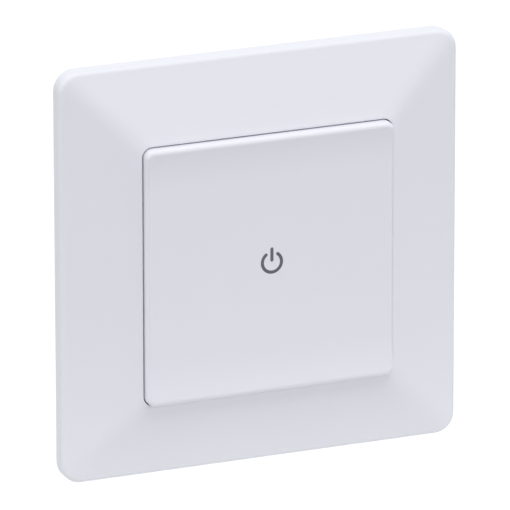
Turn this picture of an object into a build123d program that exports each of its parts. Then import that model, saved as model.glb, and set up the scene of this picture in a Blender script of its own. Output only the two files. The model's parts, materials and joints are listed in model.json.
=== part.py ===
from build123d import *
import math
import os

# Flush-mounted smart light switch: sloped cover frame, rocking key, and the mechanism behind them.
# Millimetres. The wall's face is the plane y = 0, +Z is up and the room is on the -Y side. A height is a
# distance out of the wall towards the room, so what stands in the wall box has negative heights.

os.makedirs("parts", exist_ok=True)

# Used all over
running_fit = 0.05
smallest_corner = 0.5

# Cover frame
frame_size = 85.0
frame_corner = 4.2
frame_edge_height = 3.1
frame_rim_height = 7.4
frame_wall = 1.9
frame_edge_round = 1.2
frame_ridge_round = 10.0
frame_rim_land = 0.5
frame_rim_chamfer = 0.12
frame_skirt_wall = 1.5
frame_skirt_gap = 0.2
frame_rib_wall = 1.2
frame_rib_height = 2.0
frame_rib_offset = 19.0

# Snap legs of the cover frame, which hook behind the support frame
leg_wall = 1.6
leg_width = 5.0
leg_offset = 11.0
leg_reach = 2.6
leg_hook = 0.8
leg_catch = 0.45
leg_clearance = 0.2

# Key
key_size = 53.0
key_corner = 1.8
key_gap = 0.22
key_face_height = 8.7
key_wall = 1.4
key_skirt_wall = 1.5
key_skirt_height = 5.0
key_dish_width = 8.0
key_dish_rise = 0.8
key_edge_round = 0.9

# Key carrier with its trunnions
carrier_wall = 1.4
carrier_gap = 2.4
carrier_corner = 3.0
window_edge = 1.4
hinge_offset = 19.8
hinge_height = 5.6
trunnion_radius = 1.2
trunnion_length = 2.2
arm_wall = 2.7
side_play = 0.3

# Clips that hold the key on its carrier
clip_offset_x = 13.0
clip_upper = 9.5
clip_lower = -8.0
clip_wall = 1.2
clip_width = 4.0
clip_nose = 0.5
clip_reach = 0.75
clip_clearance = 0.3

# Stop hooks of the carrier, which catch behind the front case
stop_side_gap = 0.4
stop_lip_gap = 0.5
stop_width = 3.0
stop_wall = 1.4
stop_nose = 0.8
stop_nose_height = 1.0
stop_catch = 0.4
stop_play = 0.1

# Support frame
support_size = 71.0
support_corner = 6.0
support_thickness = 1.2
support_bead = 0.5
support_bead_width = 2.4
support_bead_taper = 30.0
box_screw_spacing = 60.0
box_slot_radius = 1.9
box_slot_length = 7.0
case_clearance = 0.4

# Front case
flange_lap = 2.2
flange_corner = 3.0
flange_thickness = 1.8
platform_inset = 0.2
platform_corner = 2.0
platform_height = 4.0
ceiling_wall = 1.4
ear_wall = 2.0
ear_height = 7.0
ear_length = 4.0
ear_gap = 0.5
lip_wall = 1.4
lip_length = 14.0
lip_clearance = 0.2

# Rear case
case_size = 44.4
case_wall = 1.8
case_chamfer = 8.0
case_depth = 31.0
shoulder_length = 12.0
shoulder_width = 1.4
shoulder_depth = 2.6
case_rib = 0.5
case_rib_width = 1.4
vent_width = 1.4
vent_length = 9.0
vent_pitch = 4.2
vent_count = 5
boss_radius = 2.6
boss_bite = 0.16
boss_depth = 11.0
seat_wall = 0.9
shelf_wall = 1.2
divider_wall = 0.8
bay_depth = 15.2

# Case screws
screw_radius = 1.1
screw_head_radius = 2.1
screw_head_height = 1.3
screw_length = 10.5
screw_recess = 1.6
screw_end_room = 1.0
screw_clearance = 0.15
screw_socket = 0.6
screw_socket_radius = 0.9

# Circuit boards
board_thickness = 1.6
board_gap = 0.5
control_board_height = -1.4
power_board_height = -12.0
power_board_inset = 1.0
boss_notch = 0.5
ledge_length = 10.0
ledge_grip = 0.7
ledge_depth = 2.0

# Parts on the control board
tact_size = 6.2
tact_corner = 0.5
tact_body_height = 3.4
tact_offset = 9.0
plunger_radius = 1.7
plunger_room = 1.8
plunger_top = 5.3
plunger_travel = 0.4
nub_width = 3.0
nub_gap = 0.1
led_width = 3.5
led_length = 2.8
led_height = 1.9
guide_radius = 1.6
guide_head_radius = 3.0
guide_top = 6.2
guide_gap = 0.3
reset_x = 8.5
reset_z = 2.5
reset_size = 4.6
reset_corner = 0.4
reset_body_height = 2.6
reset_radius = 1.3
reset_below = 0.3
reset_travel = 0.3
radio_gap = 0.65
radio_z = -4.0
radio_width = 10.8
radio_length = 11.0
radio_board = 0.8
radio_shield_wall = 0.3
radio_shield_length = 8.0
radio_shield_height = 1.9
radio_shield_edge = 0.6

# Return spring: a bent leaf, staked to the front case at its foot
leaf_width = 5.0
leaf_thickness = 0.35
leaf_foot_start = 9.0
leaf_foot_length = 4.6
leaf_tip_inset = 3.5
leaf_tip_curl = 0.8
stake_width = 1.8
stake_proud = 0.35

# Parts on the power board
part_gap = 0.5
moulding_chamfer = 0.5
relay_width = 17.6
relay_length = 10.1
relay_depth = 12.3
capacitor_width = 13.0
capacitor_length = 5.5
capacitor_depth = 11.0
smoothing_radius = 3.15
smoothing_depth = 11.0
transformer_width = 8.4
transformer_length = 6.2
transformer_depth = 9.0
transformer_cheek = 1.0
transformer_waist = 0.9
fuse_width = 4.2
fuse_length = 8.4
fuse_depth = 8.0
varistor_radius = 3.5
varistor_wall = 3.0
varistor_lead = 0.8
connector_edge = 1.4
connector_width = 12.7
connector_length = 5.0
connector_step = 0.8
connector_step_depth = 3.0

# Terminals
terminal_pitch = 10.0
terminal_depth = 21.0
terminal_screw_radius = 1.5
terminal_head_radius = 2.0
terminal_head_height = 1.6
terminal_head_gap = 0.2
terminal_slot_width = 0.7
terminal_slot_depth = 0.9
terminal_screw_length = 8.6
terminal_travel = 2.3
cage_width = 7.0
cage_length = 6.0
cage_wall = 0.9
cage_nut_wall = 1.7
cage_clamp_wall = 1.2
cage_nut_gap = 0.2
cage_shelf_gap = 0.5
bar_thickness = 1.0
bar_width = 4.6
bar_overhang = 0.5
bar_tail_width = 1.6
bar_tail_reach = 0.8
bar_fit = 0.1
wire_gap = 3.6
wire_entry_width = 5.0
wire_entry_height = 3.2
wire_entry_funnel = 0.6
driver_hole_radius = 1.7


def at(height):
    # Plane parallel to the wall, facing the room
    return Plane.XZ.offset(height)


def write(builder, label):
    builder.part.label = label
    export_step(builder.part, f"parts/{label}.step")


# Sizes that follow from the driving ones
opening_size = key_size + 2 * key_gap
opening_corner = key_corner + key_gap
rim_size = opening_size + 2 * frame_rim_land
skirt_outside = opening_size / 2 + frame_skirt_wall
slope_angle = math.atan2(frame_rim_height - frame_edge_height, (frame_size - rim_size) / 2)
roof_drop = frame_wall / math.cos(slope_angle)
cavity_size = frame_size - 2 * frame_wall
cavity_corner = max(frame_corner - frame_wall, smallest_corner)
cavity_rim_height = frame_rim_height - roof_drop

leg_inside = skirt_outside - frame_skirt_wall / 2
leg_outside = skirt_outside + leg_wall
leg_window_inside = skirt_outside - leg_clearance
leg_window_outside = leg_outside + leg_hook - leg_catch

key_half = key_size / 2
key_inside_height = key_face_height - key_wall
key_inside_size = key_size - 2 * key_skirt_wall
key_inside_corner = max(key_corner - key_skirt_wall, smallest_corner)

flange_rear = support_thickness
flange_front = flange_rear + flange_thickness
boss_joint_height = flange_rear
frame_skirt_height = flange_front + frame_skirt_gap
ceiling_rear = platform_height - ceiling_wall
case_half = case_size / 2
case_inside = case_half - case_wall
case_inside_chamfer = case_chamfer - case_wall * (2 - math.sqrt(2))
case_floor = -case_depth + case_wall
support_opening = case_size + 2 * case_clearance
flange_size = support_opening + 2 * flange_lap
platform_size = case_size - 2 * platform_inset
lip_outside = case_inside - lip_clearance
boss_offset = case_inside - case_inside_chamfer / 2 - (boss_radius - boss_bite) / math.sqrt(2)
boss_places = ((-boss_offset, boss_offset), (boss_offset, -boss_offset))

carrier_size = key_inside_size - 2 * carrier_gap
carrier_rear = key_inside_height - carrier_wall
ear_outside = boss_offset - screw_head_radius - screw_clearance - ear_gap
ear_inside = ear_outside - ear_wall
arm_outside = ear_inside - side_play
arm_offset = arm_outside - arm_wall / 2
stop_offset_x = (lip_length + stop_width) / 2 + stop_lip_gap
stop_offset_z = -(case_inside - stop_side_gap - stop_nose - stop_wall / 2)

control_rear = control_board_height - board_thickness
power_rear = power_board_height - board_thickness
control_half = case_inside - board_gap
power_half = control_half - power_board_inset
screw_seat = platform_height - screw_recess

head_bottom = -case_inside + terminal_head_gap
head_top = head_bottom + terminal_head_height
bar_bottom = head_bottom + terminal_screw_length
bar_top = bar_bottom + bar_thickness
nut_bottom = head_top + cage_nut_gap + terminal_travel
nut_top = nut_bottom + cage_nut_wall
clamp_bottom = bar_top + wire_gap
clamp_top = clamp_bottom + cage_clamp_wall
shelf_bottom = clamp_top + cage_shelf_gap
shelf_top = shelf_bottom + shelf_wall
wire_entry_z = (bar_top + clamp_bottom) / 2
terminal_names = ("neutral", "line", "load")
terminal_places = [(terminal_pitch * (i - 1), name) for i, name in enumerate(terminal_names)]

# Places on the boards: in rows above the shelf, and beside the lamp
row_start = shelf_top + part_gap
column_start = relay_width / 2 + part_gap
second_row = row_start + relay_length + part_gap
relay_z = row_start + relay_length / 2
capacitor_x = -(capacitor_width + part_gap) / 2
capacitor_z = second_row + capacitor_length / 2
transformer_x = (transformer_width + part_gap) / 2
transformer_z = second_row + transformer_length / 2
smoothing_x = column_start + smoothing_radius
smoothing_z = row_start + smoothing_radius
varistor_x = column_start + varistor_wall / 2
varistor_z = smoothing_z + smoothing_radius + part_gap + varistor_radius
fuse_x = -column_start - fuse_width / 2
fuse_z = row_start + fuse_length / 2
connector_z = power_half - connector_edge - connector_length / 2
radio_x = -(led_width / 2 + radio_gap + radio_width / 2)


# Cover frame
def slope_height(distance):
    # Height of the middle of the roof, at a distance from the switch's centre
    outer = frame_rim_height - (distance - rim_size / 2) * math.tan(slope_angle)
    return outer - roof_drop / 2


def roof_planes(edge_height):
    # The four slopes, each passing over the frame's outer edge at the height given
    for turn in range(4):
        outward = Vector(math.cos(turn * math.pi / 2), 0, math.sin(turn * math.pi / 2))
        edge = outward * (frame_size / 2) - Vector(0, edge_height, 0)
        upward = outward * math.sin(slope_angle) - Vector(0, math.cos(slope_angle), 0)
        yield Plane(origin=edge, z_dir=upward)


def runs_diagonally(edge):
    along = edge.tangent_at()
    return abs(along.X) > 0.1 and abs(abs(along.X) - abs(along.Z)) < 0.01


rib_root = skirt_outside - frame_skirt_wall / 2
rib_tip = frame_size / 2 - frame_wall / 2

with BuildPart() as frame_cavity:
    with BuildSketch(at(0)):
        RectangleRounded(cavity_size, cavity_size, cavity_corner)
    extrude(amount=cavity_rim_height)
    for slope in roof_planes(frame_edge_height - roof_drop):
        split(bisect_by=slope, keep=Keep.BOTTOM)

with BuildPart() as cover_frame:
    with BuildSketch(at(0)):
        RectangleRounded(frame_size, frame_size, frame_corner)
    extrude(amount=frame_rim_height)
    for slope in roof_planes(frame_edge_height):
        split(bisect_by=slope, keep=Keep.BOTTOM)
    # The ridges run from the rim's corners, the shoulder goes round the top of the outer wall
    ridges = cover_frame.edges().filter_by(GeomType.LINE).filter_by(runs_diagonally)
    fillet(ridges, radius=frame_ridge_round)
    outer_walls = cover_frame.faces().filter_by(lambda face: abs(face.normal_at().Y) < 0.01)
    shoulder = outer_walls.edges().filter_by(
        lambda edge: edge.position_at(0).Y < -smallest_corner and edge.position_at(1).Y < -smallest_corner
    )
    fillet(shoulder, radius=frame_edge_round)
    add(frame_cavity.part, mode=Mode.SUBTRACT)
    with BuildSketch(at(frame_skirt_height)):
        RectangleRounded(2 * skirt_outside, 2 * skirt_outside, opening_corner + frame_skirt_wall)
    extrude(amount=slope_height(skirt_outside) - frame_skirt_height)
    with BuildSketch(at(0)):
        RectangleRounded(opening_size, opening_size, opening_corner)
    extrude(amount=frame_rim_height, mode=Mode.SUBTRACT)
    rim = cover_frame.faces().filter_by(Plane.XZ).sort_by(Axis.Y)[0].inner_wires()[0].edges()
    chamfer(rim, length=frame_rim_chamfer)
    # Ribs between the skirt and the roof, two on each side
    for turn in range(4):
        across = math.cos(turn * math.pi / 2)
        up = math.sin(turn * math.pi / 2)
        for side in (-1, 1):
            rib_plane = Plane(origin=(0, 0, 0), x_dir=(across, 0, up), z_dir=(-up, 0, across))
            with BuildSketch(rib_plane.offset(side * frame_rib_offset)):
                with BuildLine():
                    Polyline(
                        (rib_root, -frame_rib_height),
                        (rib_tip, -frame_rib_height),
                        (rib_tip, -slope_height(rib_tip)),
                        (rib_root, -slope_height(rib_root)),
                        close=True,
                    )
                make_face()
            extrude(amount=frame_rib_wall / 2, both=True)
    # Snap legs
    for side in (-1, 1):
        with BuildSketch(Plane.XY.offset(side * leg_offset)):
            with BuildLine():
                Polyline(
                    (leg_inside, -slope_height(leg_outside)),
                    (leg_inside, -frame_skirt_height),
                    (skirt_outside, -frame_skirt_height),
                    (skirt_outside, leg_reach),
                    (leg_outside, leg_reach),
                    (leg_outside + leg_hook, leg_clearance + leg_hook),
                    (leg_outside + leg_hook, leg_clearance),
                    (leg_outside, leg_clearance),
                    (leg_outside, -slope_height(leg_outside)),
                    close=True,
                )
            make_face()
            mirror(about=Plane.YZ)
        extrude(amount=leg_width / 2, both=True)
write(cover_frame, "cover_frame")


# Key
with BuildPart() as key:
    with BuildSketch(at(key_skirt_height)):
        RectangleRounded(key_size, key_size, key_corner)
    extrude(amount=key_face_height + key_dish_rise - key_skirt_height)
    # The face is flat in the middle and rises in an arc to its upper and lower edges
    with BuildSketch(Plane.YZ):
        with BuildLine():
            flat_end = key_half - key_dish_width
            crest = -(key_face_height + key_dish_rise)
            outside = crest - key_dish_rise
            Line((-key_face_height, -flat_end), (-key_face_height, flat_end))
            TangentArc((-key_face_height, flat_end), (crest, key_half), tangent=(0, 1))
            TangentArc((-key_face_height, -flat_end), (crest, -key_half), tangent=(0, -1))
            Polyline((crest, key_half), (outside, key_half), (outside, -key_half), (crest, -key_half))
        make_face()
    extrude(amount=key_size, both=True, mode=Mode.SUBTRACT)
    # Rounded border
    front_edges = key.edges().filter_by_position(Axis.Y, outside, -key_face_height + running_fit)
    border = front_edges.filter_by(
        lambda edge: max(abs(edge.center().X), abs(edge.center().Z)) > key_half - key_corner
    )
    fillet(border, radius=key_edge_round)
    with BuildSketch(at(key_skirt_height)):
        RectangleRounded(key_inside_size, key_inside_size, key_inside_corner)
    extrude(amount=key_inside_height - key_skirt_height, mode=Mode.SUBTRACT)
    # Clips
    clip_end = carrier_rear - clip_reach
    for clip_z in (clip_upper, clip_lower):
        with BuildSketch(Plane.XY.offset(clip_z)):
            with BuildLine():
                Polyline(
                    (clip_offset_x, -key_face_height + key_wall / 2),
                    (clip_offset_x, -clip_end),
                    (clip_offset_x + clip_wall, -clip_end),
                    (clip_offset_x + clip_wall + clip_nose, -carrier_rear + clip_reach / 2),
                    (clip_offset_x + clip_wall + clip_nose, -carrier_rear + running_fit),
                    (clip_offset_x + clip_wall, -carrier_rear + running_fit),
                    (clip_offset_x + clip_wall, -key_face_height + key_wall / 2),
                    close=True,
                )
            make_face()
            mirror(about=Plane.YZ)
        extrude(amount=clip_width / 2, both=True)
write(key, "key")


# Key carrier
with BuildPart() as key_carrier:
    with BuildSketch(at(carrier_rear)):
        RectangleRounded(carrier_size, carrier_size, carrier_corner)
        # Window over the light guide and the reset button
        window_left = -guide_head_radius - window_edge
        window_right = reset_x + reset_radius + window_edge
        with Locations(((window_left + window_right) / 2, 0)):
            Rectangle(
                window_right - window_left, 2 * (guide_head_radius + window_edge), mode=Mode.SUBTRACT
            )
        # Windows for the key's clips
        clip_window = clip_wall + 2 * clip_clearance
        for side in (-1, 1):
            with Locations(
                (side * (clip_offset_x + clip_wall / 2), clip_upper),
                (side * (clip_offset_x + clip_wall / 2), clip_lower),
            ):
                Rectangle(clip_window, clip_width + 2 * clip_clearance, mode=Mode.SUBTRACT)
            # Notches for the hinge ears
            notch_width = ear_outside + side_play - arm_outside
            notch_length = carrier_size / 2 - hinge_offset + ear_length / 2 + side_play
            with Locations((side * (arm_outside + notch_width / 2), carrier_size / 2 - notch_length / 2)):
                Rectangle(notch_width, notch_length, mode=Mode.SUBTRACT)
    extrude(amount=carrier_wall)
    # Arms and trunnions at the upper edge
    for side in (-1, 1):
        arm_plane = Plane.YZ.offset(side * arm_offset)
        with BuildSketch(arm_plane):
            with Locations((-hinge_height, hinge_offset)):
                Circle(trunnion_radius)
            with Locations(((-hinge_height - key_inside_height) / 2, hinge_offset)):
                Rectangle(key_inside_height - hinge_height, 2 * trunnion_radius)
        extrude(amount=arm_wall / 2, both=True)
        with BuildSketch(Plane.YZ.offset(side * arm_outside)):
            with Locations((-hinge_height, hinge_offset)):
                Circle(trunnion_radius)
        extrude(amount=side * trunnion_length)
    # Square nub over the plunger
    with BuildSketch(at(plunger_top + nub_gap)):
        with Locations((0, tact_offset)):
            Rectangle(nub_width, nub_width)
    extrude(amount=carrier_rear - plunger_top - nub_gap)
    # Stop hooks
    nose_top = ceiling_rear - stop_play
    stem_inside = stop_offset_z + stop_wall / 2
    stem_outside = stop_offset_z - stop_wall / 2
    for side in (-1, 1):
        with BuildSketch(Plane.YZ.offset(side * stop_offset_x)):
            with BuildLine():
                Polyline(
                    (-carrier_rear, stem_inside),
                    (-nose_top + stop_nose_height, stem_inside),
                    (-nose_top + stop_nose_height, stem_outside),
                    (-nose_top + stop_nose_height / 2, stem_outside - stop_nose),
                    (-nose_top, stem_outside - stop_nose),
                    (-nose_top, stem_outside),
                    (-carrier_rear, stem_outside),
                    close=True,
                )
            make_face()
        extrude(amount=stop_width / 2, both=True)
write(key_carrier, "key_carrier")


# Front case
with BuildPart() as front_case:
    with BuildSketch(at(flange_rear)):
        RectangleRounded(flange_size, flange_size, flange_corner)
    extrude(amount=flange_thickness)
    with BuildSketch(at(flange_front)):
        RectangleRounded(platform_size, platform_size, platform_corner)
    extrude(amount=platform_height - flange_front)
    with BuildSketch(at(flange_rear)):
        Rectangle(2 * case_inside, 2 * case_inside)
    extrude(amount=ceiling_rear - flange_rear, mode=Mode.SUBTRACT)
    # Lips that stand in the rear case and press on the control board
    with BuildSketch(at(control_board_height)):
        for turn in range(4):
            with Locations(Location((0, 0, 0), (0, 0, 90 * turn))):
                with Locations((lip_outside - lip_wall / 2, 0)):
                    Rectangle(lip_wall, lip_length)
    extrude(amount=ceiling_rear - control_board_height)
    # Screw bosses
    with BuildSketch(at(boss_joint_height)):
        with Locations(*boss_places):
            Circle(screw_head_radius + screw_clearance + seat_wall)
    extrude(amount=ceiling_rear - boss_joint_height)
    with Locations(at(platform_height)):
        with Locations(*boss_places):
            CounterBoreHole(
                radius=screw_radius + screw_clearance,
                counter_bore_radius=screw_head_radius + screw_clearance,
                counter_bore_depth=screw_recess,
                depth=platform_height - boss_joint_height,
            )
    # Holes for the plunger, the light guide and the reset button, and windows for the stop hooks
    with BuildSketch(at(platform_height)):
        with Locations((0, tact_offset)):
            Circle(plunger_radius + guide_gap)
        Circle(guide_radius + running_fit)
        with Locations((reset_x, reset_z)):
            Circle(reset_radius + guide_gap)
        stop_window = stop_wall + 2 * stop_catch
        with Locations(
            (stop_offset_x, stop_offset_z),
            (-stop_offset_x, stop_offset_z),
        ):
            Rectangle(stop_width + 2 * clip_clearance, stop_window)
    extrude(amount=ceiling_rear - platform_height, mode=Mode.SUBTRACT)
    # Stake for the leaf spring
    with BuildSketch(at(platform_height)):
        with Locations((0, -leaf_foot_start - leaf_foot_length / 2)):
            Rectangle(stake_width, stake_width)
    extrude(amount=leaf_thickness + stake_proud)
    # Hinge ears
    for side in (-1, 1):
        with BuildSketch(Plane.YZ.offset(side * (ear_inside + ear_wall / 2))):
            with Locations((-(platform_height + ear_height) / 2, hinge_offset)):
                Rectangle(ear_height - platform_height, ear_length)
            with Locations((-hinge_height, hinge_offset)):
                Circle(trunnion_radius + running_fit, mode=Mode.SUBTRACT)
        extrude(amount=ear_wall / 2, both=True)
write(front_case, "front_case")


# Support frame
with BuildPart() as support_frame:
    with BuildSketch(at(0)):
        RectangleRounded(support_size, support_size, support_corner)
        with BuildSketch(mode=Mode.SUBTRACT) as case_window:
            Rectangle(support_opening, support_opening)
            chamfer(case_window.vertices(), length=case_chamfer)
        for turn in range(4):
            with Locations(Location((0, 0, 0), (0, 0, 90 * turn))):
                with Locations((box_screw_spacing / 2, 0)):
                    SlotOverall(box_slot_length, 2 * box_slot_radius, mode=Mode.SUBTRACT)
        window_width = leg_window_outside - leg_window_inside
        window_middle = (leg_window_outside + leg_window_inside) / 2
        with GridLocations(2 * window_middle, 2 * leg_offset, 2, 2):
            Rectangle(window_width, leg_width + 4 * leg_clearance, mode=Mode.SUBTRACT)
    extrude(amount=support_thickness)
    # Pressed stiffening beads above and below the opening
    bead_length = box_screw_spacing / 2 - box_slot_radius - support_corner
    bead_x = box_slot_radius + support_bead_width + bead_length / 2
    bead_z = (support_opening + support_size) / 4
    with BuildSketch(at(support_thickness)):
        with GridLocations(2 * bead_x, 2 * bead_z, 2, 2):
            Rectangle(bead_length, support_bead_width)
    extrude(amount=support_bead, taper=support_bead_taper)
write(support_frame, "support_frame")


# Rear case
with BuildPart() as rear_case:
    with BuildSketch(at(-case_depth)) as case_outline:
        Rectangle(case_size, case_size)
        chamfer(case_outline.vertices(), length=case_chamfer)
    extrude(amount=case_depth + flange_rear)
    chamfer(rear_case.faces().sort_by(Axis.Y)[-1].edges(), length=case_wall / 2)
    # Shoulders behind the support frame
    with BuildSketch(at(-shoulder_depth)):
        for turn in range(4):
            with Locations(Location((0, 0, 0), (0, 0, 90 * turn))):
                with Locations((case_half, 0)):
                    Rectangle(2 * shoulder_width, shoulder_length)
    extrude(amount=shoulder_depth)
    # Outer ribs on the left and right walls
    with BuildSketch(at(-case_depth + case_wall)):
        with GridLocations(case_size, shoulder_length - case_rib_width, 2, 2):
            Rectangle(2 * case_rib, case_rib_width)
    extrude(amount=case_depth - case_wall - shoulder_depth)
    # Room inside
    with BuildSketch(at(case_floor)) as case_room:
        Rectangle(2 * case_inside, 2 * case_inside)
        chamfer(case_room.vertices(), length=case_inside_chamfer)
    extrude(amount=flange_rear - case_floor, mode=Mode.SUBTRACT)
    # Ledges under the boards
    for board_rear, board_half in ((control_rear, control_half), (power_rear, power_half)):
        ledge_wall = case_inside - board_half + ledge_grip
        with BuildSketch(at(board_rear - ledge_depth)):
            for turn in range(4):
                with Locations(Location((0, 0, 0), (0, 0, 90 * turn))):
                    with Locations((case_inside - ledge_wall / 2, 0)):
                        Rectangle(ledge_wall, ledge_length)
        extrude(amount=ledge_depth)
    # Screw bosses
    with BuildSketch(at(-boss_depth)):
        with Locations(*boss_places):
            Circle(boss_radius)
    extrude(amount=boss_depth + boss_joint_height)
    with BuildSketch(at(boss_joint_height)):
        with Locations(*boss_places):
            Circle(screw_radius + running_fit)
    extrude(amount=-(screw_length - screw_seat + boss_joint_height + screw_end_room), mode=Mode.SUBTRACT)
    # Terminal bay: a shelf over it and dividers in it
    bay_front = -bay_depth
    with BuildSketch(at(case_floor)):
        with Locations((0, shelf_bottom + shelf_wall / 2)):
            Rectangle(2 * case_inside, shelf_wall)
        with GridLocations(terminal_pitch, 1, 2, 1):
            with Locations((0, (shelf_bottom - case_inside) / 2)):
                Rectangle(divider_wall, shelf_bottom + case_inside)
    extrude(amount=bay_front - case_floor)
    # Wire entries with a funnel, driver holes and vents
    with BuildSketch(at(-case_depth)):
        with GridLocations(terminal_pitch, 1, 3, 1):
            with Locations((0, wire_entry_z)):
                Rectangle(wire_entry_width, wire_entry_height)
    extrude(amount=case_wall, mode=Mode.SUBTRACT)
    entry_edges = rear_case.faces().sort_by(Axis.Y)[-1].inner_wires().edges()
    chamfer(entry_edges, length=wire_entry_funnel)
    with BuildSketch(Plane.XY.offset(-case_half)):
        with GridLocations(terminal_pitch, 1, 3, 1):
            with Locations((0, terminal_depth)):
                Circle(driver_hole_radius)
    extrude(amount=case_wall, mode=Mode.SUBTRACT)
    with BuildSketch(Plane.XY.offset(case_half)):
        with Locations((0, (case_depth - power_rear) / 2)):
            with GridLocations(vent_pitch, 1, vent_count, 1):
                Rectangle(vent_width, vent_length)
    extrude(amount=-case_wall, mode=Mode.SUBTRACT)
write(rear_case, "rear_case")


# Case screws
with BuildPart() as case_screws:
    with BuildSketch(at(screw_seat)):
        with Locations(*boss_places):
            Circle(screw_head_radius)
    extrude(amount=screw_head_height)
    with BuildSketch(at(screw_seat)):
        with Locations(*boss_places):
            Circle(screw_radius)
    extrude(amount=-screw_length)
    with BuildSketch(at(screw_seat + screw_head_height)):
        with Locations(*boss_places):
            RegularPolygon(screw_socket_radius, 6)
    extrude(amount=-screw_socket, mode=Mode.SUBTRACT)
write(case_screws, "case_screws")


# Circuit boards
def board_outline(half):
    # Square board with the case's corners cut off and notches around the screw bosses
    with BuildSketch(at(0), mode=Mode.PRIVATE) as outline:
        Rectangle(2 * half, 2 * half)
        corner_cut = case_inside_chamfer - (2 - math.sqrt(2)) * (case_inside - half)
        chamfer(outline.vertices(), length=corner_cut)
        with Locations(*boss_places):
            Circle(boss_radius + boss_notch, mode=Mode.SUBTRACT)
    return outline.sketch_local


control_outline = board_outline(control_half)
power_outline = board_outline(power_half)

with BuildPart() as control_board:
    with BuildSketch(at(control_rear)):
        add(control_outline)
    extrude(amount=board_thickness)
write(control_board, "control_board")

with BuildPart() as power_board:
    with BuildSketch(at(power_rear)):
        add(power_outline)
        with GridLocations(terminal_pitch, 1, 3, 1):
            with Locations((0, bar_bottom + bar_thickness / 2)):
                Rectangle(
                    bar_tail_width + 2 * bar_fit, bar_thickness + 2 * bar_fit, mode=Mode.SUBTRACT
                )
    extrude(amount=board_thickness)
write(power_board, "power_board")


# Small switch that the key works, with its plunger
with BuildPart() as tact_switch_body:
    with BuildSketch(at(control_board_height)):
        with Locations((0, tact_offset)):
            Rectangle(tact_size, tact_size)
    extrude(amount=tact_body_height)
    chamfer(tact_switch_body.edges().filter_by(Axis.Y), length=tact_corner)
    tact_top = control_board_height + tact_body_height
    with BuildSketch(at(tact_top)):
        with Locations((0, tact_offset)):
            Circle(plunger_radius + running_fit)
    extrude(amount=-plunger_room, mode=Mode.SUBTRACT)
write(tact_switch_body, "tact_switch_body")

with BuildPart() as tact_plunger:
    plunger_foot = tact_top - plunger_room + plunger_travel + running_fit
    with BuildSketch(at(plunger_foot)):
        with Locations((0, tact_offset)):
            Circle(plunger_radius)
    extrude(amount=plunger_top - plunger_foot)
write(tact_plunger, "tact_plunger")


# Status lamp and the light guide over it
with BuildPart() as status_led:
    with BuildSketch(at(control_board_height)):
        Rectangle(led_width, led_length)
    extrude(amount=led_height)
write(status_led, "status_led")

with BuildPart() as light_guide:
    guide_foot = control_board_height + led_height + guide_gap
    with BuildSketch(at(guide_foot)):
        Circle(guide_radius)
    extrude(amount=platform_height - guide_foot)
    with BuildSketch(at(platform_height)):
        Circle(guide_head_radius)
    extrude(amount=guide_top - platform_height)
write(light_guide, "light_guide")


# Reset button and its switch
reset_top = control_board_height + reset_body_height
with BuildPart() as reset_switch:
    with BuildSketch(at(control_board_height)):
        with Locations((reset_x, reset_z)):
            Rectangle(reset_size, reset_size)
    extrude(amount=reset_body_height)
    chamfer(reset_switch.edges().filter_by(Axis.Y), length=reset_corner)
    with BuildSketch(at(reset_top)):
        with Locations((reset_x, reset_z)):
            Circle(reset_radius + running_fit)
    extrude(amount=-reset_body_height / 2, mode=Mode.SUBTRACT)
write(reset_switch, "reset_switch")

with BuildPart() as reset_button:
    reset_foot = reset_top - reset_body_height / 2 + reset_travel + running_fit
    with BuildSketch(at(reset_foot)):
        with Locations((reset_x, reset_z)):
            Circle(reset_radius)
    extrude(amount=platform_height - reset_below - reset_foot)
write(reset_button, "reset_button")


# Radio module with its shield
with BuildPart() as radio_module:
    with BuildSketch(at(control_board_height)):
        with Locations((radio_x, radio_z)):
            Rectangle(radio_width, radio_length)
    extrude(amount=radio_board)
write(radio_module, "radio_module")

with BuildPart() as radio_shield:
    shield_z = radio_z - (radio_length - radio_shield_length) / 2 + radio_shield_edge
    shield_width = radio_width - 2 * radio_shield_edge
    with BuildSketch(at(control_board_height + radio_board)):
        with Locations((radio_x, shield_z)):
            Rectangle(shield_width, radio_shield_length)
    extrude(amount=radio_shield_height)
    with BuildSketch(at(control_board_height + radio_board)):
        with Locations((radio_x, shield_z)):
            Rectangle(shield_width - 2 * radio_shield_wall, radio_shield_length - 2 * radio_shield_wall)
    extrude(amount=radio_shield_height - radio_shield_wall, mode=Mode.SUBTRACT)
    chamfer(radio_shield.faces().sort_by(Axis.Y)[0].edges(), length=radio_shield_wall / 2)
write(radio_shield, "radio_shield")


# Plug and socket between the two boards
with BuildPart() as board_connector:
    with BuildSketch(at(power_board_height)):
        with Locations((0, connector_z)):
            Rectangle(connector_width, connector_length)
    extrude(amount=control_rear - power_board_height - connector_step_depth)
    with BuildSketch(at(control_rear - connector_step_depth)):
        with Locations((0, connector_z)):
            Rectangle(connector_width - 2 * connector_step, connector_length - 2 * connector_step)
    extrude(amount=connector_step_depth)
write(board_connector, "board_connector")


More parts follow.
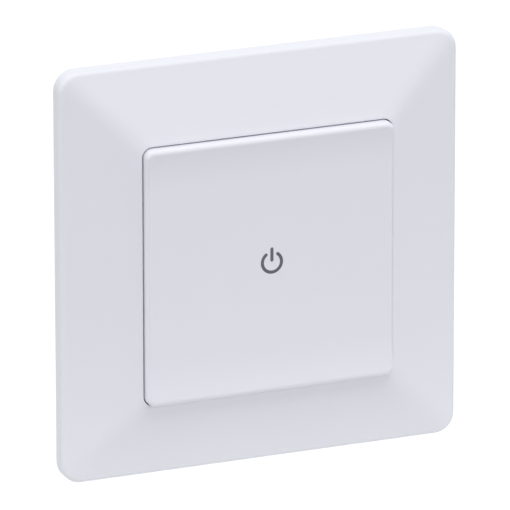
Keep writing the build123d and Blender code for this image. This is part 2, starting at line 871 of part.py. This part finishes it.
# Return spring
with BuildPart() as return_spring:
    foot_end = -leaf_foot_start - leaf_foot_length
    tip = -(carrier_size / 2 - leaf_tip_inset)
    tip_front = -carrier_rear + running_fit
    with BuildSketch(Plane.YZ):
        with BuildLine():
            Polyline(
                (-platform_height, -leaf_foot_start),
                (-platform_height, foot_end),
                (tip_front + leaf_thickness, tip),
                (tip_front + leaf_thickness + leaf_tip_curl, tip - leaf_tip_curl),
                (tip_front + leaf_tip_curl, tip - leaf_tip_curl),
                (tip_front, tip),
                (-platform_height - leaf_thickness, foot_end),
                (-platform_height - leaf_thickness, -leaf_foot_start),
                close=True,
            )
        make_face()
    extrude(amount=leaf_width / 2, both=True)
    with BuildSketch(at(platform_height)):
        with Locations((0, -leaf_foot_start - leaf_foot_length / 2)):
            Rectangle(stake_width + 2 * running_fit, stake_width + 2 * running_fit)
    extrude(amount=leaf_thickness, mode=Mode.SUBTRACT)
write(return_spring, "return_spring")


# Relay
with BuildPart() as relay:
    with BuildSketch(at(power_rear)):
        with Locations((0, relay_z)):
            Rectangle(relay_width, relay_length)
    extrude(amount=-relay_depth)
    chamfer(relay.faces().sort_by(Axis.Y)[-1].edges(), length=moulding_chamfer)
write(relay, "relay")


# Capacitors
with BuildPart() as mains_capacitor:
    with BuildSketch(at(power_rear)):
        with Locations((capacitor_x, capacitor_z)):
            Rectangle(capacitor_width, capacitor_length)
    extrude(amount=-capacitor_depth)
    chamfer(mains_capacitor.faces().sort_by(Axis.Y)[-1].edges(), length=moulding_chamfer)
write(mains_capacitor, "mains_capacitor")

with BuildPart() as smoothing_capacitor:
    with BuildSketch(at(power_rear)):
        with Locations((smoothing_x, smoothing_z)):
            Circle(smoothing_radius)
    extrude(amount=-smoothing_depth)
write(smoothing_capacitor, "smoothing_capacitor")


# Transformer, fuse and varistor
with BuildPart() as transformer:
    with BuildSketch(at(power_rear)):
        with Locations((transformer_x, transformer_z)):
            Rectangle(transformer_width, transformer_length)
    extrude(amount=-transformer_depth)
    with BuildSketch(at(power_rear - transformer_cheek)):
        with Locations((transformer_x, transformer_z)):
            Rectangle(transformer_width, transformer_length)
            Rectangle(
                transformer_width - 2 * transformer_waist,
                transformer_length - 2 * transformer_waist,
                mode=Mode.SUBTRACT,
            )
    extrude(amount=-(transformer_depth - 2 * transformer_cheek), mode=Mode.SUBTRACT)
write(transformer, "transformer")

with BuildPart() as fuse:
    with BuildSketch(at(power_rear)):
        with Locations((fuse_x, fuse_z)):
            Rectangle(fuse_width, fuse_length)
    extrude(amount=-fuse_depth)
    chamfer(fuse.edges().filter_by(Axis.Y), length=moulding_chamfer)
write(fuse, "fuse")

with BuildPart() as varistor:
    disc_height = power_rear - varistor_lead - varistor_radius
    with BuildSketch(Plane.YZ.offset(varistor_x)):
        with Locations((-disc_height, varistor_z)):
            Circle(varistor_radius)
    extrude(amount=varistor_wall / 2, both=True)
    with BuildSketch(at(power_rear)):
        with Locations((varistor_x, varistor_z)):
            with GridLocations(1, varistor_radius, 1, 2):
                Rectangle(varistor_lead, varistor_lead)
    extrude(amount=-varistor_lead - varistor_radius)
write(varistor, "varistor")


# Terminals: a fixed contact bar, a screw that stays in place and a cage that the screw draws down
for terminal_x, terminal_name in terminal_places:
    with BuildPart() as contact_bar:
        bar_rear = -terminal_depth - cage_length / 2 - bar_overhang
        with BuildSketch(at(bar_rear)):
            with Locations((terminal_x, (bar_bottom + bar_top) / 2)):
                Rectangle(bar_width, bar_thickness)
        extrude(amount=power_rear - bar_rear)
        with BuildSketch(at(power_rear)):
            with Locations((terminal_x, (bar_bottom + bar_top) / 2)):
                Rectangle(bar_tail_width, bar_thickness)
        extrude(amount=board_thickness + bar_tail_reach)
    write(contact_bar, f"{terminal_name}_contact_bar")

    with BuildPart() as terminal_screw:
        with BuildSketch(Plane.XY.offset(head_bottom)):
            with Locations((terminal_x, terminal_depth)):
                Circle(terminal_head_radius)
        extrude(amount=terminal_head_height)
        with BuildSketch(Plane.XY.offset(head_bottom)):
            with Locations((terminal_x, terminal_depth)):
                Rectangle(2 * terminal_head_radius, terminal_slot_width)
        extrude(amount=terminal_slot_depth, mode=Mode.SUBTRACT)
        with BuildSketch(Plane.XY.offset(head_top)):
            with Locations((terminal_x, terminal_depth)):
                Circle(terminal_screw_radius)
        extrude(amount=bar_bottom - head_top)
    write(terminal_screw, f"{terminal_name}_terminal_screw")

    with BuildPart() as terminal_cage:
        with BuildSketch(at(-terminal_depth - cage_length / 2)):
            with Locations((terminal_x, (nut_bottom + clamp_top) / 2)):
                Rectangle(cage_width, clamp_top - nut_bottom)
            with Locations((terminal_x, (nut_top + clamp_bottom) / 2)):
                Rectangle(cage_width - 2 * cage_wall, clamp_bottom - nut_top, mode=Mode.SUBTRACT)
        extrude(amount=cage_length)
        with BuildSketch(Plane.XY.offset(nut_bottom)):
            with Locations((terminal_x, terminal_depth)):
                Circle(terminal_screw_radius + running_fit)
        extrude(amount=cage_nut_wall, mode=Mode.SUBTRACT)
    write(terminal_cage, f"{terminal_name}_terminal_cage")
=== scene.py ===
import bmesh
import bpy
import json
import math
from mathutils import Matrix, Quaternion, Vector


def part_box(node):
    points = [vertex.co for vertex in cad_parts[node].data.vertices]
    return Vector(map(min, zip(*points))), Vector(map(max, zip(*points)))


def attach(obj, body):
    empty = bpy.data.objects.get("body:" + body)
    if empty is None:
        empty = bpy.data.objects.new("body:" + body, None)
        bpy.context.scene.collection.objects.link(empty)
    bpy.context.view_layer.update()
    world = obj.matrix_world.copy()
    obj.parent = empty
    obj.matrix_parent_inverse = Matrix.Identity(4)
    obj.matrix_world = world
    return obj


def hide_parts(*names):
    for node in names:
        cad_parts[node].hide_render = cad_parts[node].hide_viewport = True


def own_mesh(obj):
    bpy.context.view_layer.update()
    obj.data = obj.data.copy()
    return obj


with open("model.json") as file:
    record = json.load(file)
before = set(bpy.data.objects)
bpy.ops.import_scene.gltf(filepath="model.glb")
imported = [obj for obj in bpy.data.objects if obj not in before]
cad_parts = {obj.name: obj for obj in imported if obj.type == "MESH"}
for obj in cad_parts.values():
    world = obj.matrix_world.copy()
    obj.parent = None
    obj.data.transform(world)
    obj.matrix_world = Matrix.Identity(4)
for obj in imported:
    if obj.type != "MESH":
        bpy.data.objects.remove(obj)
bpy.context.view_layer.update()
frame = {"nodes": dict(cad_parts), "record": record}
nodes = frame["nodes"]
mm = 0.001
print("frame loaded with", len(nodes), "nodes")


# Small helpers for node trees

def freshTree(owner):
    owner.use_nodes = True
    owner.node_tree.nodes.clear()
    return owner.node_tree


def addNode(tree, kind, **settings):
    node = tree.nodes.new(kind)
    for name, value in settings.items():
        setattr(node, name, value)
    return node


def feed(tree, value, socket):
    # a socket's value is linked, a plain number is set
    if isinstance(value, bpy.types.NodeSocket):
        tree.links.new(value, socket)
    else:
        socket.default_value = value


def mathNode(tree, operation, *values):
    node = addNode(tree, "ShaderNodeMath", operation=operation)
    for socket, value in zip(node.inputs, values):
        feed(tree, value, socket)
    return node.outputs[0]


def newGroup(name, inputs, outputs):
    group = bpy.data.node_groups.new(name, "ShaderNodeTree")
    for label, kind in inputs:
        group.interface.new_socket(label, in_out="INPUT", socket_type=kind)
    for label, kind in outputs:
        group.interface.new_socket(label, in_out="OUTPUT", socket_type=kind)
    return group, addNode(group, "NodeGroupInput").outputs, addNode(group, "NodeGroupOutput").inputs


def objectPlace(tree):
    return addNode(tree, "ShaderNodeTexCoord").outputs["Object"]


def noiseAt(tree, vector, scale, detail):
    noise = addNode(tree, "ShaderNodeTexNoise")
    feed(tree, vector, noise.inputs["Vector"])
    feed(tree, scale, noise.inputs["Scale"])
    feed(tree, detail, noise.inputs["Detail"])
    return noise.outputs["Fac"]


def swing(tree, middle, pattern, amount):
    # goes with the pattern, half the amount to each side of the middle
    lowest = mathNode(tree, "MULTIPLY_ADD", amount, -0.5, middle)
    return mathNode(tree, "MULTIPLY_ADD", pattern, amount, lowest)


def shadedColor(tree, color, pattern, amount):
    shade = addNode(tree, "ShaderNodeHueSaturation")
    feed(tree, swing(tree, 1.0, pattern, amount), shade.inputs["Value"])
    feed(tree, color, shade.inputs["Color"])
    return shade.outputs["Color"]


# Effects that several materials share

surfaceOutputs = [
    ("Color", "NodeSocketColor"),
    ("Roughness", "NodeSocketFloat"),
    ("Height", "NodeSocketFloat"),
]
mouldLook = dict(
    grainDetail=2.0,
    flowsPerMetre=45.0,  # slow drift of the shade, as resin flows in the mould
    flowDetail=3.0,
)
metalLook = dict(
    streakDetail=4.0,
    cloudsPerMetre=260.0,  # patches left by the plating bath
    cloudDetail=3.0,
    cloudShare=0.45,
    bump=0.003 * mm,
)
trackLook = dict(
    unevenness=0.8,
    pitch=0.16,  # pitch and start are in cells of the pattern
    start=0.10,
    maskRough=0.38,
    trackGloss=0.08,
    bump=0.03 * mm,
)


def buildMouldGrain():
    group, given, out = newGroup("mouldGrain", [
        ("Color", "NodeSocketColor"),
        ("Shade", "NodeSocketFloat"),
        ("Grains Per Metre", "NodeSocketFloat"),
        ("Roughness", "NodeSocketFloat"),
        ("Roughness Spread", "NodeSocketFloat"),
    ], surfaceOutputs)
    place = objectPlace(group)
    grain = noiseAt(group, place, given["Grains Per Metre"], mouldLook["grainDetail"])
    flow = noiseAt(group, place, mouldLook["flowsPerMetre"], mouldLook["flowDetail"])
    feed(group, shadedColor(group, given["Color"], flow, given["Shade"]), out["Color"])
    feed(group, swing(group, given["Roughness"], grain, given["Roughness Spread"]), out["Roughness"])
    feed(group, grain, out["Height"])
    return group


def buildRolledMetal():
    group, given, out = newGroup("rolledMetal", [
        ("Color", "NodeSocketColor"),
        ("Shade", "NodeSocketFloat"),
        ("Stretch", "NodeSocketVector"),
        ("Roughness", "NodeSocketFloat"),
        ("Roughness Spread", "NodeSocketFloat"),
    ], surfaceOutputs)
    place = objectPlace(group)
    along = addNode(group, "ShaderNodeVectorMath", operation="MULTIPLY")
    feed(group, place, along.inputs[0])
    feed(group, given["Stretch"], along.inputs[1])
    streak = noiseAt(group, along.outputs["Vector"], 1.0, metalLook["streakDetail"])  # scaled by the stretch
    cloud = noiseAt(group, place, metalLook["cloudsPerMetre"], metalLook["cloudDetail"])
    streakPart = mathNode(group, "MULTIPLY", streak, 1.0 - metalLook["cloudShare"])
    both = mathNode(group, "MULTIPLY_ADD", cloud, metalLook["cloudShare"], streakPart)
    feed(group, shadedColor(group, given["Color"], both, given["Shade"]), out["Color"])
    feed(group, swing(group, given["Roughness"], both, given["Roughness Spread"]), out["Roughness"])
    feed(group, streak, out["Height"])
    return group


def buildBoardTracks():
    group, given, out = newGroup("boardTracks", [
        ("Mask Color", "NodeSocketColor"),
        ("Track Color", "NodeSocketColor"),
        ("Tracks Per Metre", "NodeSocketFloat"),
    ], surfaceOutputs)
    cells = addNode(group, "ShaderNodeTexVoronoi", distance="CHEBYCHEV", feature="F1")
    feed(group, objectPlace(group), cells.inputs["Vector"])
    feed(group, given["Tracks Per Metre"], cells.inputs["Scale"])
    feed(group, trackLook["unevenness"], cells.inputs["Randomness"])
    ring = mathNode(group, "PINGPONG", cells.outputs["Distance"], trackLook["pitch"])
    track = mathNode(group, "GREATER_THAN", ring, trackLook["start"])
    mix = addNode(group, "ShaderNodeMix", data_type="RGBA")
    feed(group, track, mix.inputs["Factor"])
    feed(group, given["Mask Color"], mix.inputs["A"])
    feed(group, given["Track Color"], mix.inputs["B"])
    roughness = mathNode(group, "MULTIPLY_ADD", track, -trackLook["trackGloss"], trackLook["maskRough"])
    feed(group, mix.outputs["Result"], out["Color"])
    feed(group, roughness, out["Roughness"])
    feed(group, track, out["Height"])
    return group


mouldGrain = buildMouldGrain()
rolledMetal = buildRolledMetal()
boardTracks = buildBoardTracks()
print("shared effects built")


# Materials

def newMaterial(name, group, values, bumpDepth, fixed):
    # values go into the shared effect, fixed ones straight onto the shader
    material = bpy.data.materials.new(name)
    tree = freshTree(material)
    shader = addNode(tree, "ShaderNodeBsdfPrincipled")
    for label, value in fixed.items():
        shader.inputs[label].default_value = value
    effect = addNode(tree, "ShaderNodeGroup", node_tree=group)
    for label, value in values.items():
        effect.inputs[label].default_value = value
    bump = addNode(tree, "ShaderNodeBump")
    bump.inputs["Distance"].default_value = bumpDepth
    output = addNode(tree, "ShaderNodeOutputMaterial")
    feed(tree, effect.outputs["Height"], bump.inputs["Height"])
    feed(tree, effect.outputs["Color"], shader.inputs["Base Color"])
    feed(tree, effect.outputs["Roughness"], shader.inputs["Roughness"])
    feed(tree, bump.outputs["Normal"], shader.inputs["Normal"])
    feed(tree, shader.outputs["BSDF"], output.inputs["Surface"])
    return material


def mouldedFinish(name, finish):
    return newMaterial(name, mouldGrain, {
        "Color": (*finish["color"], 1.0),
        "Shade": finish["shade"],
        "Grains Per Metre": 1.0 / (finish["grain"] * mm),
        "Roughness": finish["rough"],
        "Roughness Spread": finish["spread"],
    }, finish["bump"] * mm, finish.get("fixed", {}))


def metalFinish(name, finish):
    return newMaterial(name, rolledMetal, {
        "Color": (*finish["color"], 1.0),
        "Shade": finish["shade"],
        "Stretch": finish["stretch"],
        "Roughness": finish["rough"],
        "Roughness Spread": finish["spread"],
    }, metalLook["bump"], {"Metallic": 1.0})


def boardFinish(name, finish):
    return newMaterial(name, boardTracks, {
        "Mask Color": (*finish["mask"], 1.0),
        "Track Color": (*finish["track"], 1.0),
        "Tracks Per Metre": finish["tracks"],
    }, trackLook["bump"], {})


# grain is the size of one grain and bump its depth, both in mm
mouldings = {
    "white_plastic": dict(
        color=(0.765, 0.774, 0.826), shade=0.012, grain=0.12, rough=0.50, spread=0.06, bump=0.002,
        fixed={"Specular IOR Level": 0.24},  # a dull satin, as from a fine etched mould
    ),
    "carrier_plastic": dict(
        color=(0.60, 0.61, 0.64), shade=0.05, grain=0.25, rough=0.55, spread=0.10, bump=0.01,
    ),
    "case_plastic": dict(
        color=(0.66, 0.67, 0.69), shade=0.06, grain=0.30, rough=0.52, spread=0.14, bump=0.02,
    ),
    "black_plastic": dict(
        color=(0.028, 0.028, 0.031), shade=0.25, grain=0.20, rough=0.48, spread=0.16, bump=0.01,
    ),
    "plunger_plastic": dict(
        color=(0.07, 0.07, 0.08), shade=0.2, grain=0.20, rough=0.45, spread=0.12, bump=0.01,
    ),
    "lamp_resin": dict(
        color=(0.78, 0.76, 0.66), shade=0.06, grain=0.15, rough=0.30, spread=0.08, bump=0.004,
    ),
    "clear_plastic": dict(
        color=(0.90, 0.92, 0.94), shade=0.02, grain=0.40, rough=0.22, spread=0.08, bump=0.003,
        fixed={"Transmission Weight": 0.85},
    ),
    "relay_plastic": dict(
        color=(0.03, 0.11, 0.30), shade=0.15, grain=0.20, rough=0.42, spread=0.14, bump=0.01,
    ),
    "capacitor_plastic": dict(
        color=(0.52, 0.38, 0.06), shade=0.12, grain=0.25, rough=0.40, spread=0.14, bump=0.01,
    ),
    "capacitor_sleeve": dict(
        color=(0.035, 0.036, 0.05), shade=0.2, grain=0.35, rough=0.32, spread=0.12, bump=0.006,
    ),
    "winding_tape": dict(
        color=(0.62, 0.44, 0.04), shade=0.15, grain=0.45, rough=0.28, spread=0.12, bump=0.012,
    ),
    "varistor_coating": dict(
        color=(0.045, 0.13, 0.32), shade=0.2, grain=0.50, rough=0.30, spread=0.14, bump=0.02,
    ),
}
# stretch is in cells per metre along x, y and z
metals = {
    "plated_steel": dict(
        color=(0.45, 0.46, 0.48), shade=0.30, stretch=(90, 900, 2600), rough=0.36, spread=0.26,
    ),
    "screw_steel": dict(
        color=(0.58, 0.58, 0.60), shade=0.12, stretch=(1800, 1800, 600), rough=0.32, spread=0.20,
    ),
    "spring_steel": dict(
        color=(0.46, 0.47, 0.50), shade=0.10, stretch=(3000, 900, 120), rough=0.30, spread=0.16,
    ),
    "tinned_steel": dict(
        color=(0.66, 0.66, 0.67), shade=0.08, stretch=(300, 900, 2200), rough=0.30, spread=0.18,
    ),
    "terminal_brass": dict(
        color=(0.68, 0.47, 0.16), shade=0.14, stretch=(2400, 160, 900), rough=0.34, spread=0.20,
    ),
    "cage_steel": dict(
        color=(0.57, 0.55, 0.50), shade=0.14, stretch=(1500, 200, 1500), rough=0.38, spread=0.22,
    ),
}
boards = {
    "circuit_board": dict(mask=(0.012, 0.10, 0.045), track=(0.02, 0.155, 0.07), tracks=420.0),
    "module_board": dict(mask=(0.008, 0.02, 0.07), track=(0.015, 0.04, 0.12), tracks=900.0),
}
materials = {}
for makeFinish, finishes in ((mouldedFinish, mouldings), (metalFinish, metals), (boardFinish, boards)):
    for slot, finish in finishes.items():
        materials[slot] = makeFinish(slot, finish)
for subpart in frame["record"]["subparts"]:
    mesh = nodes[subpart["node"]].data
    mesh.materials.clear()
    mesh.materials.append(materials[subpart["material_slot"]])
print("materials on all nodes:", len(materials))


# Flat printed shapes and bent strip, both from an outline round a line

def ribbon(path, width, roundSteps=0):
    # closed outline round an open line, with round ends where asked for;
    # corners are mitred, and blunted where they are sharp
    points = [Vector(point) for point in path]
    left = []
    right = []
    for i, point in enumerate(points):
        before = (point - points[i - 1]).normalized() if i else None
        after = (points[i + 1] - point).normalized() if i + 1 < len(points) else None
        one = before or after
        two = after or before
        square = Vector((-one.y, one.x))
        side = (square + Vector((-two.y, two.x))).normalized()
        reach = min(width / 2 / side.dot(square), width)
        left.append(point + side * reach)
        right.append(point - side * reach)

    def cap(centre, start):
        arc = []
        for step in range(1, roundSteps):
            angle = math.pi * step / roundSteps
            arc.append(centre + Vector((
                start.x * math.cos(angle) + start.y * math.sin(angle),
                start.y * math.cos(angle) - start.x * math.sin(angle),
            )))
        return arc

    lastCap = cap(points[-1], left[-1] - points[-1])
    firstCap = cap(points[0], right[0] - points[0])
    return left + lastCap + right[::-1] + firstCap


def slab(name, outlines, place, thickness):
    # each outline becomes a closed prism;
    # place turns a point of the outline and a depth into a point of the frame
    mesh = bpy.data.meshes.new(name)
    build = bmesh.new()
    for outline in outlines:
        bottom = [build.verts.new(place(x, y, 0.0)) for x, y in outline]
        top = [build.verts.new(place(x, y, thickness)) for x, y in outline]
        build.faces.new(bottom)
        build.faces.new(top)
        for i in range(len(outline)):
            j = (i + 1) % len(outline)
            build.faces.new((bottom[i], bottom[j], top[j], top[i]))
    bmesh.ops.recalc_face_normals(build, faces=build.faces)
    build.to_mesh(mesh)
    build.free()
    piece = bpy.data.objects.new(name, mesh)
    bpy.context.scene.collection.objects.link(piece)
    return piece


# Ink of all printed signs

signInk = dict(
    color=(0.098, 0.098, 0.118), shade=0.1, grain=0.06, rough=0.5, spread=0.1, bump=0.001,
    proud=0.02 * mm,
)
materials["sign_ink"] = mouldedFinish("sign_ink", signInk)


def printSign(name, outlines, place, body):
    sign = slab(name, outlines, place, signInk["proud"])
    sign.data.materials.append(materials["sign_ink"])
    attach(sign, body)


# Standby sign in the middle of the key: a broken ring and a bar

standbySign = dict(
    radius=2.05 * mm,
    stroke=0.66 * mm,
    gapDegrees=74.0,
    barTop=2.75 * mm,
    barBottom=0.45 * mm,
    centre=(0.2 * mm, 0.4 * mm),
    ringSteps=56,
    endSteps=8,
)
halfGap = math.radians(standbySign["gapDegrees"] / 2)
ringPath = []
for step in range(standbySign["ringSteps"] + 1):
    angle = halfGap + (2 * math.pi - 2 * halfGap) * step / standbySign["ringSteps"]
    ringPath.append((standbySign["radius"] * math.sin(angle), standbySign["radius"] * math.cos(angle)))
barPath = [(0.0, standbySign["barBottom"]), (0.0, standbySign["barTop"])]
signOutlines = [ribbon(path, standbySign["stroke"], standbySign["endSteps"]) for path in (ringPath, barPath)]
lookIn = Vector((0, 1, 0))
keyFace = nodes["key"].ray_cast(-lookIn, lookIn)[1].y  # the middle of the key's dished face


def onKey(x, z, depth):
    return standbySign["centre"][0] + x, keyFace - depth, standbySign["centre"][1] + z


printSign("standbySign", signOutlines, onKey, "key")
print("standby sign printed on the key")


# Terminal signs on the back of the rear case: N, L and an arrow for the load

terminalSigns = dict(
    height=2.4 * mm,
    width=1.7 * mm,
    stroke=0.34 * mm,
    above=3.4 * mm,  # from the middle of a wire entry
    footShare=0.8,  # of the width, for the foot of the L
    shaftShare=0.62,  # of the height, for the arrow's shaft
)
wireEntries = {
    mount["name"].split("_")[0]: Vector(mount["pos_m"])
    for mount in frame["record"]["mounts"] if mount["name"].endswith("wire_entry")
}


def onBack(entry, along, up):
    # print on the back is read from behind, where the frame's x runs to the left
    def place(x, z, depth):
        return entry.x + along - x, entry.y + depth, entry.z + up + z

    return place


high = terminalSigns["height"]
wide = terminalSigns["width"]
stroke = terminalSigns["stroke"]
foot = wide * terminalSigns["footShare"]
shaft = high * terminalSigns["shaftShare"]
signShapes = {
    "neutral": [ribbon([(0, 0), (0, high), (wide, 0), (wide, high)], stroke)],
    "line": [ribbon([(0, high), (0, 0), (foot, 0)], stroke)],
    "load": [
        ribbon([(wide / 2, 0), (wide / 2, shaft)], stroke),
        [(0.0, shaft), (wide, shaft), (wide / 2, high)],
    ],
}
for terminal, outlines in signShapes.items():
    place = onBack(wireEntries[terminal], wide / 2, terminalSigns["above"])
    printSign(terminal + "TerminalSign", outlines, place, "mechanism")
print("terminal signs printed on the rear case")


# Strip gauge under the wire entries, as long as the bared end of a wire

stripGauge = dict(
    length=8.0 * mm,
    tick=1.5 * mm,
    drop=4.4 * mm,  # below the middle of the wire entries
    stroke=0.34 * mm,
)
gaugeEnd = stripGauge["length"] / 2
barEnd = gaugeEnd - stripGauge["stroke"] / 2
tickEnd = stripGauge["tick"] / 2
gaugeLines = [
    [(-gaugeEnd, -tickEnd), (-gaugeEnd, tickEnd)],
    [(-barEnd, 0.0), (barEnd, 0.0)],
    [(gaugeEnd, tickEnd), (gaugeEnd, -tickEnd)],
]
gaugeOutlines = [ribbon(path, stripGauge["stroke"]) for path in gaugeLines]
printSign("stripGauge", gaugeOutlines, onBack(wireEntries["line"], 0.0, -stripGauge["drop"]), "mechanism")
print("strip gauge printed on the rear case")


# Leaf spring under the key's carrier, curved

leafSpring = dict(
    thickness=0.35 * mm,
    footLength=4.6 * mm,
    tipLength=1.4 * mm,
    tipSlope=0.5,
    bendSteps=10,
    keep=0.36,
)
low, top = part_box("return_spring")
half = leafSpring["thickness"] / 2
footEnd = top.z - leafSpring["footLength"]
tipStart = low.z + leafSpring["tipLength"]
rise = (top.y - low.y) - 2 * half
leafPath = [(top.z, 0.0)]
for step in range(leafSpring["bendSteps"] + 1):
    share = step / leafSpring["bendSteps"]
    ease = share * share * (3 - 2 * share)  # level at both ends of the bend
    leafPath.append((footEnd + (tipStart - footEnd) * share, rise * ease))
leafPath.append((low.z, rise - leafSpring["tipLength"] * leafSpring["tipSlope"]))


def onPlatform(z, height, depth):
    return low.x + depth, top.y - half - height, z


leaf = slab("returnLeaf", [ribbon(leafPath, leafSpring["thickness"])], onPlatform, top.x - low.x)
leaf.data.materials.append(materials["spring_steel"])
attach(leaf, "mechanism")
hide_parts("return_spring")
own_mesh(leaf)
print("leaf spring bent")


# World and floor

studio = dict(
    floorDrop=0.15,  # the floor lies well under the switch, which hangs as on a wall
    floorSize=8.0,
    floorColor=(0.45, 0.45, 0.45),
    floorLift=0.65,  # makes the floor look pale, to the camera and in reflections alone
    ambientColor=(0.97, 0.98, 1.0),
    ambientStrength=0.45,
)


def seenDirectly(tree):
    # 1 for what the camera, a mirror or clear plastic sees, 0 for light that falls on the object
    path = addNode(tree, "ShaderNodeLightPath").outputs
    either = mathNode(tree, "MAXIMUM", path["Is Camera Ray"], path["Is Glossy Ray"])
    return mathNode(tree, "MAXIMUM", either, path["Is Transmission Ray"])


scene = bpy.context.scene
world = bpy.data.worlds.new("studio")
scene.world = world
tree = freshTree(world)
ambient = addNode(tree, "ShaderNodeBackground")
ambient.inputs["Color"].default_value = (*studio["ambientColor"], 1.0)
ambient.inputs["Strength"].default_value = studio["ambientStrength"]
white = addNode(tree, "ShaderNodeBackground")
white.inputs["Color"].default_value = (1.0, 1.0, 1.0, 1.0)
choice = addNode(tree, "ShaderNodeMixShader")
output = addNode(tree, "ShaderNodeOutputWorld")
feed(tree, seenDirectly(tree), choice.inputs["Fac"])
feed(tree, ambient.outputs["Background"], choice.inputs[1])
feed(tree, white.outputs["Background"], choice.inputs[2])
feed(tree, choice.outputs["Shader"], output.inputs["Surface"])

floorMesh = bpy.data.meshes.new("floor")
reach = studio["floorSize"] / 2
floorZ = -studio["floorDrop"]
floorMesh.from_pydata(
    [(-reach, -reach, floorZ), (reach, -reach, floorZ), (reach, reach, floorZ), (-reach, reach, floorZ)],
    [],
    [(0, 1, 2, 3)],
)
floor = bpy.data.objects.new("floor", floorMesh)
scene.collection.objects.link(floor)
floorMaterial = bpy.data.materials.new("pale_floor")
tree = freshTree(floorMaterial)
matte = addNode(tree, "ShaderNodeBsdfDiffuse")
matte.inputs["Color"].default_value = (*studio["floorColor"], 1.0)
lift = addNode(tree, "ShaderNodeEmission")
total = addNode(tree, "ShaderNodeAddShader")
output = addNode(tree, "ShaderNodeOutputMaterial")
feed(tree, mathNode(tree, "MULTIPLY", seenDirectly(tree), studio["floorLift"]), lift.inputs["Strength"])
feed(tree, matte.outputs["BSDF"], total.inputs[0])
feed(tree, lift.outputs["Emission"], total.inputs[1])
feed(tree, total.outputs["Shader"], output.inputs["Surface"])
floorMesh.materials.append(floorMaterial)
print("world and floor set")


# Lamps

lamps = dict(
    overhead=dict(place=(0.0, -0.48, 1.00), aim=(0.0, 0.0, 0.0), size=(1.0, 0.6), power=8.65),
    front=dict(place=(-0.3, -1.3, 0.20), aim=(0.0, 0.0, 0.0), size=(1.0, 0.8), power=2.15),
    rightFill=dict(place=(1.0, -0.28, 0.10), aim=(0.0, 0.0, 0.0), size=(0.6, 0.8), power=1.6),
    leftFill=dict(place=(-1.0, 0.22, 0.0), aim=(0.0, 0.0, 0.0), size=(0.5, 0.8), power=4.3),
    lowStrip=dict(place=(0.0, -0.042, -0.105), aim=(0.0, -0.006, -0.03), size=(0.26, 0.03), power=0.0455),
    rearFill=dict(place=(0.3, 1.0, 0.15), aim=(0.0, 0.0, 0.0), size=(0.9, 0.7), power=2.0),
)
for name, lamp in lamps.items():
    light = bpy.data.lights.new(name, "AREA")
    light.shape = "RECTANGLE"
    light.size, light.size_y = lamp["size"]
    light.energy = lamp["power"]
    holder = bpy.data.objects.new(name, light)
    holder.location = lamp["place"]
    toward = Vector(lamp["aim"]) - Vector(lamp["place"])
    holder.rotation_euler = toward.to_track_quat("-Z", "Y").to_euler()
    holder.visible_camera = False
    scene.collection.objects.link(holder)
print("lamps set:", len(lamps))


# Camera

viewpoint = dict(
    azimuth=-22.61,
    elevation=17.94,
    roll=-0.078,
    distance=1.610,
    target=(0.20 * mm, 0.0, -0.70 * mm),
    lens=571.7,
    sensor=36.0,
    clipStart=0.01,
)
azimuth = math.radians(viewpoint["azimuth"])
elevation = math.radians(viewpoint["elevation"])
back = Vector((
    math.sin(azimuth) * math.cos(elevation),
    -math.cos(azimuth) * math.cos(elevation),
    math.sin(elevation),
))
cameraData = bpy.data.cameras.new("camera")
cameraData.lens = viewpoint["lens"]
cameraData.sensor_width = viewpoint["sensor"]
cameraData.clip_start = viewpoint["clipStart"]
camera = bpy.data.objects.new("camera", cameraData)
camera.location = Vector(viewpoint["target"]) + back * viewpoint["distance"]
turn = (-back).to_track_quat("-Z", "Y") @ Quaternion((0, 0, 1), math.radians(viewpoint["roll"]))
camera.rotation_euler = turn.to_euler()
scene.collection.objects.link(camera)
scene.camera = camera
scene.view_settings.view_transform = "Standard"
print("camera set")
